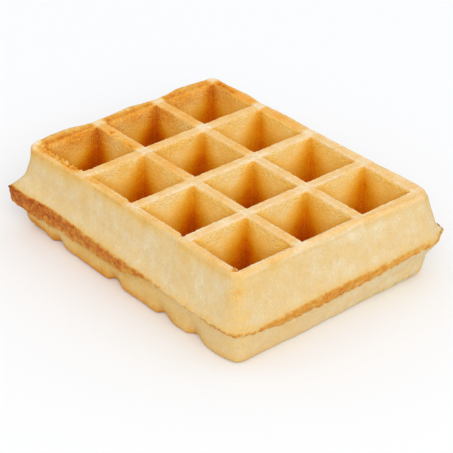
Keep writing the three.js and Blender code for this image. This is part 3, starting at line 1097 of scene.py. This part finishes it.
def brown_and_shade(bm):
    """Sets how brown each point is, with its painted shade and light, how far the air dried it, how rib-like
    and how coarse it is.
    """
    for vert in bm.verts:
        level = vert[layers["level"]]
        home = Vector(vert[layers["home"]])
        region = region_of(home, level)
        value = rib_browning(home)
        dried = FLANK_DRYNESS * flank_share(home)
        rib = 1 - FLANK_SMOOTHNESS * flank_share(home)
        coarse = lerp(1, FLANK_COARSENESS, flank_share(home))
        if region in ("wall", "flash"):
            place = place_of(Vector(vert[layers["foot"]]), Vector(vert[layers["out"]]).normalized())
            seam = seam_browning_and_light(place, level, home)
            share = smoothstep(level, 0, WALL_START)
            value = lerp(value, max(wall_browning_and_shade(place, level, home), seam), share)
            dried = lerp(dried, 1, share)
            rib *= 1 - smoothstep(level, WALL_START, WALL_START + 3)
            flash_coarse = lerp(FLASH_COARSENESS, SIDE_FLASH_COARSENESS, on_side(place))
            coarse = lerp(lerp(coarse, WALL_COARSENESS, share), flash_coarse, smoothstep(seam, 0.2, 0.4))
        elif region == "pocket":
            share = smoothstep(off_face(home) + 0.5 * noise.noise(home / 0.9), 0.1, 1.2)
            value = lerp(value, pocket_browning_and_shade(home), share)
            toasted = toasted_share(home)
            dried *= 1 - share
            rib = lerp(rib, TOAST_PEACH * toasted, share)
            wall_coarse = lerp(MOUTH_COARSENESS, POCKET_COARSENESS, smoothstep(off_face(home), 1, 6))
            coarse = lerp(coarse, lerp(wall_coarse, TOASTED_COARSENESS, toasted), share)
        torn = torn_share(home)
        vert[layers["browning_and_shading"]] += value + TORN_BROWNING * torn
        vert[layers["dried"]] = dried
        vert[layers["rib"]] = rib * (1 - torn)
        vert[layers["coarse"]] = coarse


brown_and_shade(bm)
print("browning from", round(min(v[layers["browning_and_shading"]] for v in bm.verts), 2),
      "to", round(max(v[layers["browning_and_shading"]] for v in bm.verts), 2))

# %% [markdown]
# ## The finished piece
# The mesh is turned to metres, held inside the frame's box and rid of the layers that only helped
# to shape it. It rides on the one body and stands for the frame's plain waffle.


# %% Make the piece
def keep_inside(bm, low, high):
    """Holds every point inside the frame's box."""
    for vert in bm.verts:
        vert.co = Vector(min(max(c, a), b) for c, a, b in zip(vert.co, low, high))


def finish_piece(bm):
    bmesh.ops.scale(bm, vec=(MM, MM, MM), verts=bm.verts)
    keep_inside(bm, *cad_box)
    for name in WORKING_VECTORS:
        bm.verts.layers.float_vector.remove(bm.verts.layers.float_vector[name])
    bm.verts.layers.float.remove(bm.verts.layers.float["level"])
    mesh = bpy.data.meshes.new("waffle_crust")
    bm.to_mesh(mesh)
    bm.free()
    mesh.shade_smooth()
    piece = bpy.data.objects.new("waffle_crust", mesh)
    bpy.context.scene.collection.objects.link(piece)
    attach(piece, "root")
    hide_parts("waffle")
    return piece


waffle = finish_piece(bm)
waffle.data.calc_loop_triangles()
print("triangles:", len(waffle.data.loop_triangles))

# %% [markdown]
# ## Crust
# Baked batter is dry and matte. Its colour runs from cream through gold and orange-brown to dark
# brown as sugars and proteins brown, and a fine grain of crumb breaks it up.

# %% Crust colours
# what the irons touched: pale, cream, gold, amber, brown
IRONED_STOPS = (
    (0.0, "#f7e8c8"), (0.12, "#f8e2ac"), (0.22, "#f7dd94"), (0.28, "#f8d172"), (0.36, "#f3c259"),
    (0.46, "#edb544"), (0.52, "#e7ab34"), (0.58, "#e1a120"), (0.64, "#db8c0a"), (0.7, "#d07304"),
    (0.76, "#bf5b01"), (0.88, "#983800"), (1.0, "#6a2200"),
)
# the ribs, which the irons touched but kept cooler, as both sides of the iron met there: cream, peach, tan
RIDGE_STOPS = (
    (0.0, "#f7e4c6"), (0.1, "#f2d8ae"), (0.14, "#efd09e"), (0.18, "#eec78c"), (0.24, "#eec37f"),
    (0.32, "#ecb461"), (0.45, "#eda03e"), (0.6, "#d67f28"), (0.8, "#a84f15"), (1.0, "#6e2d0c"),
)
# what only the hot air dried: whitish, straw, gold, and the toasted flash
DRIED_STOPS = (
    (0.0, "#e0d1ad"), (0.1, "#dbc08e"), (0.25, "#dbb46c"), (0.4, "#d4963e"),
    (0.55, "#ca7e31"), (0.7, "#b66124"), (0.85, "#8c4016"), (1.0, "#6a2c0e"),
)
# across half a rib, from its middle to the edge of a mouth: the fine raised lines of the iron, as a browner
# middle and a pale stripe that is a painted highlight
LINE_AND_HIGHLIGHT_STOPS = ((0.0, "#a0a0a0"), (0.48, "#989898"), (0.62, "#202020"), (0.76, "#a0a0a0"), (1.0, "#505050"))

# %% [markdown]
# The iron leaves fine raised lines on the ribs, at one distance from the mouths of the pockets, and
# their pale stripe is a painted highlight. That distance comes from the place on the grid: how far a
# point lies from the middle line of a rib.


# %% Lines and painted highlights on the ribs
def rib_lines_and_highlights(tree, place):
    """0 to 1 across half a rib, from its middle line to the mouth of a pocket, turned into the lines and
    their painted highlight.
    """
    half_pitch = PITCH / 2 * MM
    x, y = add_node(tree, "ShaderNodeSeparateXYZ", {0: place}).outputs[:2]
    across_x = add_node(tree, "ShaderNodeMath", {0: x, 1: half_pitch}, operation="PINGPONG").outputs[0]
    y = add_node(tree, "ShaderNodeMath", {0: y, 1: half_pitch}, operation="ADD").outputs[0]
    across_y = add_node(tree, "ShaderNodeMath", {0: y, 1: half_pitch}, operation="PINGPONG").outputs[0]
    nearest = add_node(tree, "ShaderNodeMath", {0: across_x, 1: across_y}, operation="MINIMUM").outputs[0]
    share = add_node(tree, "ShaderNodeMath", {0: nearest, 1: 2 / (RIB_WIDTH * MM)}, operation="MULTIPLY")
    return add_node(tree, "ShaderNodeValToRGB", {"Fac": share.outputs[0]}, LINE_AND_HIGHLIGHT_STOPS).outputs["Color"]


# %% [markdown]
# Four noises at real sizes break up the crust: a fine grain, the crumb, wide mottling, and streaks
# that run up the side walls. Where the crumb's noise is high, the dried walls have small pores.

# %% Patterns of the crust
GRAIN = 0.6 * MM
CRUMB = 1.2 * MM
MOTTLE = 4.5 * MM
STREAK = 2.4 * MM
STREAK_STRETCH = 0.25
PORE_FROM = 0.58
PORE_TO = 0.7


def crust_patterns(tree):
    """The mesh's own values and the patterns, by name."""
    place = add_node(tree, "ShaderNodeTexCoord").outputs["Object"]
    scale = (1, 1, STREAK_STRETCH)
    upright = add_node(tree, "ShaderNodeMapping", {"Vector": place, "Scale": scale}).outputs[0]
    patterns = {"everywhere": 1, "lines": rib_lines_and_highlights(tree, place)}
    for name in CRUST_VALUES:
        patterns[name] = add_node(tree, "ShaderNodeAttribute", attribute_name=name).outputs["Fac"]
    for name, where, size, detail in (("grain", place, GRAIN, 2), ("crumb", place, CRUMB, 2),
                                      ("mottle", place, MOTTLE, 3), ("streak", upright, STREAK, 2)):
        inputs = {"Vector": where, "Scale": 1 / size, "Detail": detail}
        patterns[name] = add_node(tree, "ShaderNodeTexNoise", inputs).outputs["Fac"]
    inputs = {"Value": patterns["crumb"], "From Min": PORE_FROM, "From Max": PORE_TO}
    patterns["pores"] = add_node(tree, "ShaderNodeMapRange", inputs).outputs[0]
    return patterns


# %% [markdown]
# The patterns first vary the browning. Three ramps then turn it into colours, one for each way that
# the batter baked, and the crumb lightens or darkens the result. The relief is a bump of grain and
# crumb with sunk pores, finer than the mesh can hold.

# %% Crust material
# pattern: how much it browns, its middle value and where it applies
SHADES = {
    "grain": (0.26, 0.5, "coarse"), "mottle": (0.14, 0.5, "everywhere"), "streak": (0.09, 0.5, "dried"),
    # the pale stripe of the lines is a painted highlight where light catches the iron's raised lines
    "pores": (0.05, 0.1, "dried"), "lines": (0.24, 0.15, "rib"),
}
CRUMB_LIGHTNESS = 0.24
PORE_DEPTH = 0.5
RELIEF_HEIGHT = 0.35 * MM
# a Mix node's two colours and its result
MIX_A = 6
MIX_B = 7
MIXED = 2


def crust_colour(tree, patterns):
    browning_and_shading = patterns["browning_and_shading"]
    for name, (shade, middle, where) in SHADES.items():
        offset = add_node(tree, "ShaderNodeMath", {0: patterns[name], 1: middle}, operation="SUBTRACT")
        inputs = {0: offset.outputs[0], 1: patterns[where]}
        offset = add_node(tree, "ShaderNodeMath", inputs, operation="MULTIPLY")
        inputs = {0: offset.outputs[0], 1: shade, 2: browning_and_shading}
        browning_and_shading = add_node(tree, "ShaderNodeMath", inputs, operation="MULTIPLY_ADD").outputs[0]
    ironed, ridge, dry = (
        add_node(tree, "ShaderNodeValToRGB", {"Fac": browning_and_shading}, stops).outputs["Color"]
        for stops in (IRONED_STOPS, RIDGE_STOPS, DRIED_STOPS)
    )
    inputs = {"Factor": patterns["rib"], MIX_A: ironed, MIX_B: ridge}
    pressed = add_node(tree, "ShaderNodeMix", inputs, data_type="RGBA").outputs[MIXED]
    inputs = {"Factor": patterns["dried"], MIX_A: pressed, MIX_B: dry}
    colour = add_node(tree, "ShaderNodeMix", inputs, data_type="RGBA").outputs[MIXED]
    lighter = add_node(tree, "ShaderNodeMath", {0: patterns["crumb"], 1: 0.5}, operation="SUBTRACT")
    inputs = {0: lighter.outputs[0], 1: patterns["coarse"]}
    lighter = add_node(tree, "ShaderNodeMath", inputs, operation="MULTIPLY")
    inputs = {0: lighter.outputs[0], 1: CRUMB_LIGHTNESS, 2: 1}
    lightness = add_node(tree, "ShaderNodeMath", inputs, operation="MULTIPLY_ADD").outputs[0]
    return add_node(tree, "ShaderNodeHueSaturation", {"Color": colour, "Value": lightness}).outputs[0]


def crust_relief(tree, patterns):
    inputs = {0: patterns["grain"], 1: patterns["crumb"]}
    relief = add_node(tree, "ShaderNodeMath", inputs, operation="ADD").outputs[0]
    relief = add_node(tree, "ShaderNodeMath", {0: relief, 1: patterns["coarse"]}, operation="MULTIPLY")
    inputs = {0: patterns["pores"], 1: patterns["dried"]}
    holes = add_node(tree, "ShaderNodeMath", inputs, operation="MULTIPLY").outputs[0]
    inputs = {0: holes, 1: -PORE_DEPTH, 2: relief.outputs[0]}
    relief = add_node(tree, "ShaderNodeMath", inputs, operation="MULTIPLY_ADD").outputs[0]
    inputs = {"Height": relief, "Distance": RELIEF_HEIGHT, "Strength": 0.8}
    return add_node(tree, "ShaderNodeBump", inputs).outputs[0]


def make_crust():
    """Baked batter: matte, with the low gloss of a dry crust."""
    material, tree, output = new_material("baked batter crust")
    patterns = crust_patterns(tree)
    shader = add_node(tree, "ShaderNodeBsdfPrincipled", {
        "Base Color": crust_colour(tree, patterns), "Roughness": 0.72, "IOR": 1.4,
        "Specular IOR Level": 0.1, "Normal": crust_relief(tree, patterns),
    })
    tree.links.new(shader.outputs[0], output.inputs[0])
    return material


waffle.data.materials.append(make_crust())
print("crust material of", len(waffle.data.materials[0].node_tree.nodes), "nodes")
